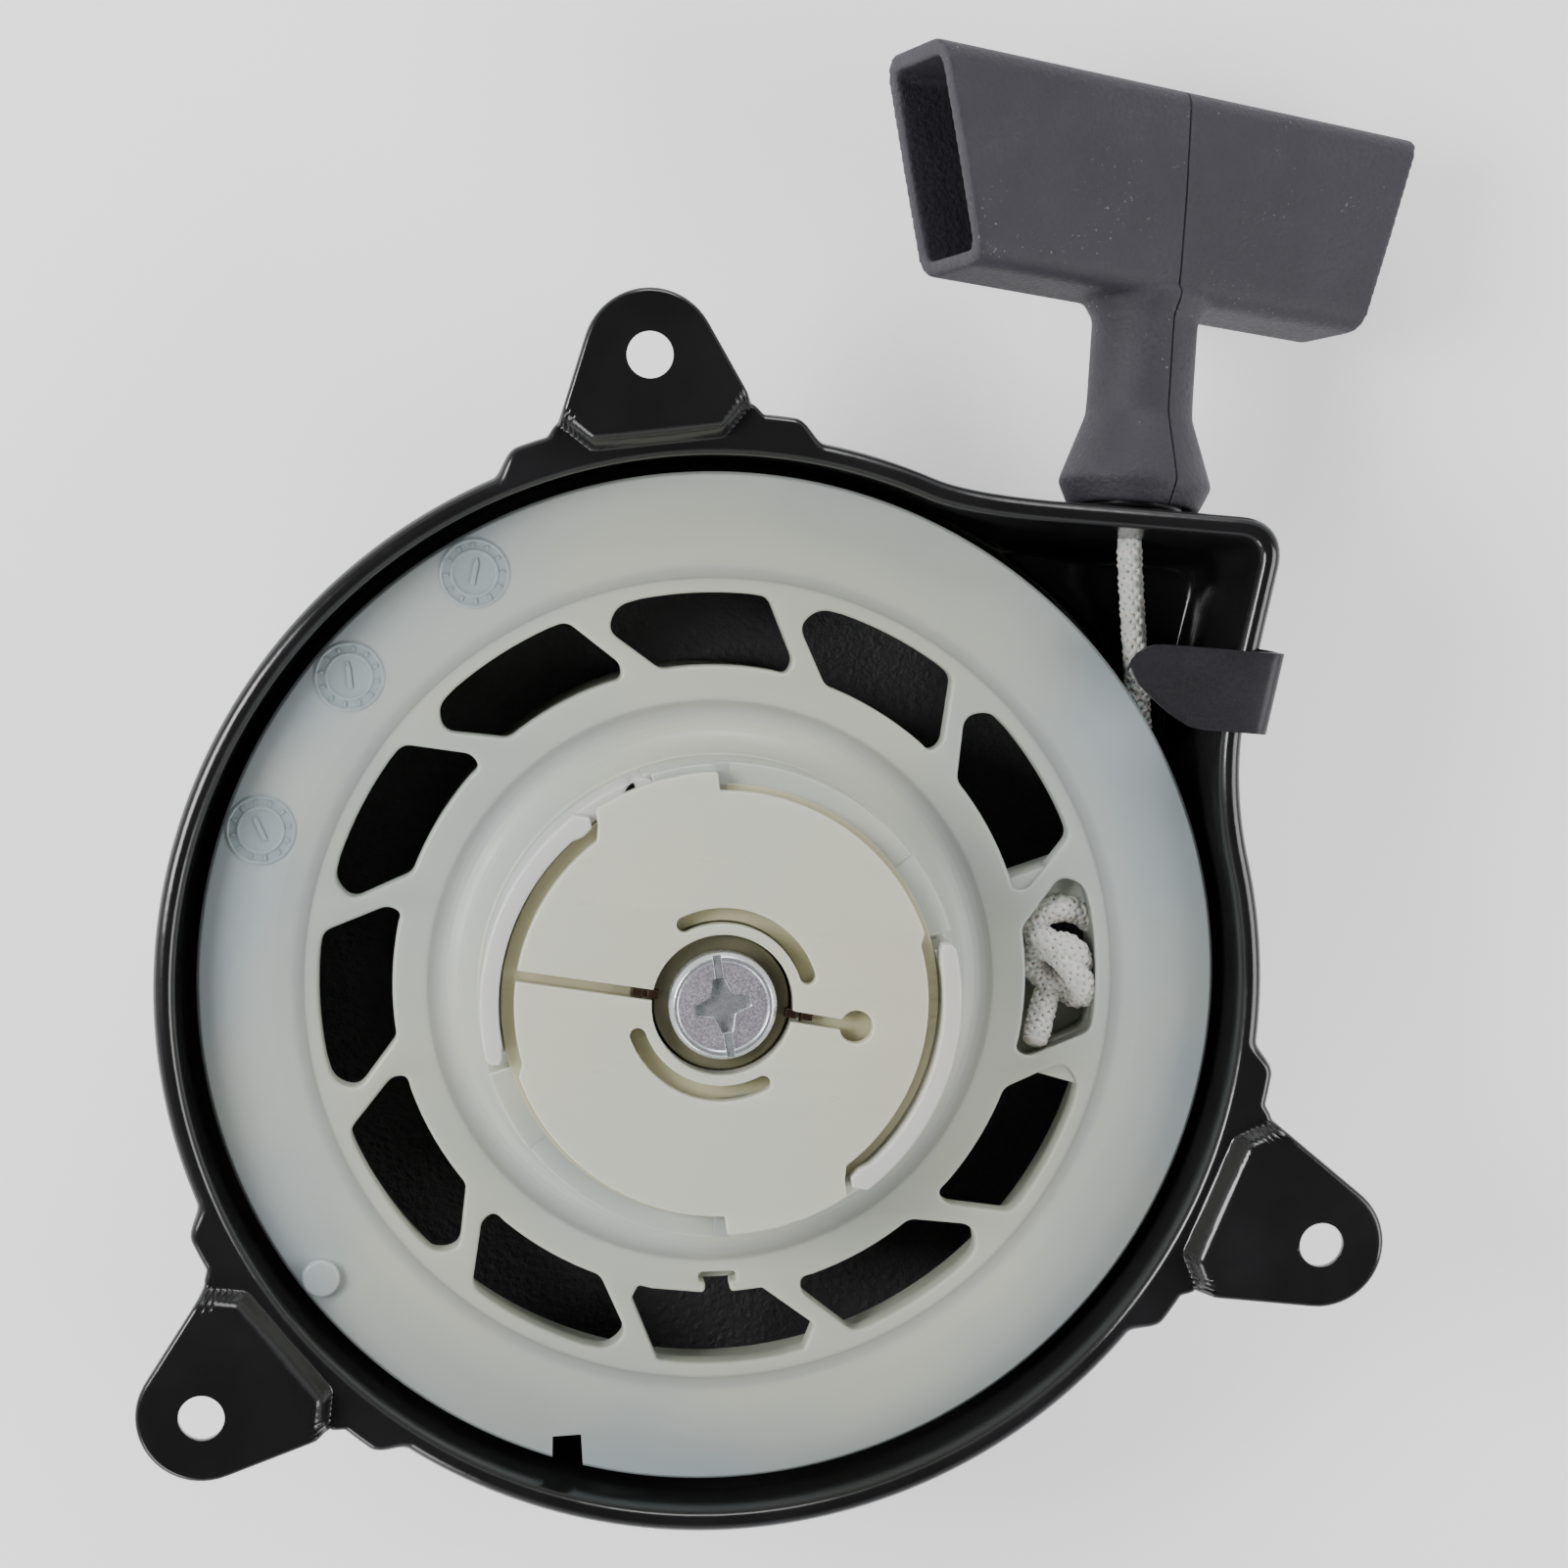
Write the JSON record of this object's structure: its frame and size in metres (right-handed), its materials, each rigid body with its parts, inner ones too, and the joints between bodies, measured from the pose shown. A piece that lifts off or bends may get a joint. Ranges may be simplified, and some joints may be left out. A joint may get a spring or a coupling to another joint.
{
  "type": "recoil starter",
  "caption": "Recoil starter for a small engine: pressed steel cup, rope pulley with pawls and friction plate, and a T-shaped pull handle.",
  "frame": {"origin": "on the pulley's axis, on the outside of the closed back that the starter lies on", "axes": "+Z along the pulley's axis, out of the open side towards the engine; +Y towards the side that the pull handle leaves"},
  "size_m": [0.1868, 0.2097, 0.0553],
  "materials": {
    "black_enamel": "gloss black enamel on pressed steel",
    "dark_steel": "satin dark coated steel",
    "nylon": "translucent off-white moulded nylon",
    "cream_nylon": "cream moulded nylon",
    "white_nylon": "off-white moulded nylon",
    "zinc": "bright zinc plated steel",
    "blued_steel": "blued spring steel",
    "grip_plastic": "grained dark grey moulded plastic",
    "rope_braid": "white braided polyester rope",
    "black_nylon": "black moulded nylon"
  },
  "bodies": {
    "housing": {"housing": "black_enamel", "rope_guard_tab": "dark_steel", "rope_guide": "black_nylon", "centre_post": "zinc", "retaining_washer": "zinc", "retaining_screw": "zinc", "thrust_washer": "zinc", "recoil_spring": "blued_steel", "rope_run": "rope_braid"},
    "pulley": {"pulley": "nylon", "spring_cover": "zinc", "rope_coil": "rope_braid", "pulley_knot": "rope_braid"},
    "handle": {"grip": "grip_plastic", "rope_lead": "rope_braid", "grip_washer": "zinc", "grip_knot": "rope_braid"},
    "friction_plate": {"friction_plate": "cream_nylon", "friction_spring": "blued_steel"},
    "pawl_a": {"pawl_a": "white_nylon"},
    "pawl_b": {"pawl_b": "white_nylon"}
  },
  "joints": [
    {"name": "pulley_spin", "type": "hinge", "parent": "housing", "child": "pulley", "pos_m": [0, 0, 0.03], "axis": [0, 0, 1], "range_deg": [0, 1811], "stiffness_Nm_per_rad": 0.018, "springref_deg": -802.14, "deforming": ["recoil_spring"]},
    {"name": "handle_pull", "type": "slide", "parent": "housing", "child": "handle", "axis": [0.082, 0.9869, -0.1392], "range_m": [0, 2]},
    {"name": "plate_turn", "type": "hinge", "parent": "pulley", "child": "friction_plate", "pos_m": [0, 0, 0.052], "axis": [0, 0, 1], "range_deg": [-25, 0]},
    {"name": "pawl_a_swing", "type": "hinge", "parent": "pulley", "child": "pawl_a", "pos_m": [-0.01082, 0.02819, 0.045], "axis": [0, 0, 1], "range_deg": [-18, 0]},
    {"name": "pawl_b_swing", "type": "hinge", "parent": "pulley", "child": "pawl_b", "pos_m": [0.01082, -0.02819, 0.045], "axis": [0, 0, 1], "range_deg": [-18, 0]}
  ],
  "couplings": [
    {"joint": "handle_pull", "follows": "pulley_spin", "m_per_rad": 0.06325},
    {"joint": "pawl_a_swing", "follows": "plate_turn", "ratio": 0.72},
    {"joint": "pawl_b_swing", "follows": "plate_turn", "ratio": 0.72}
  ]
}
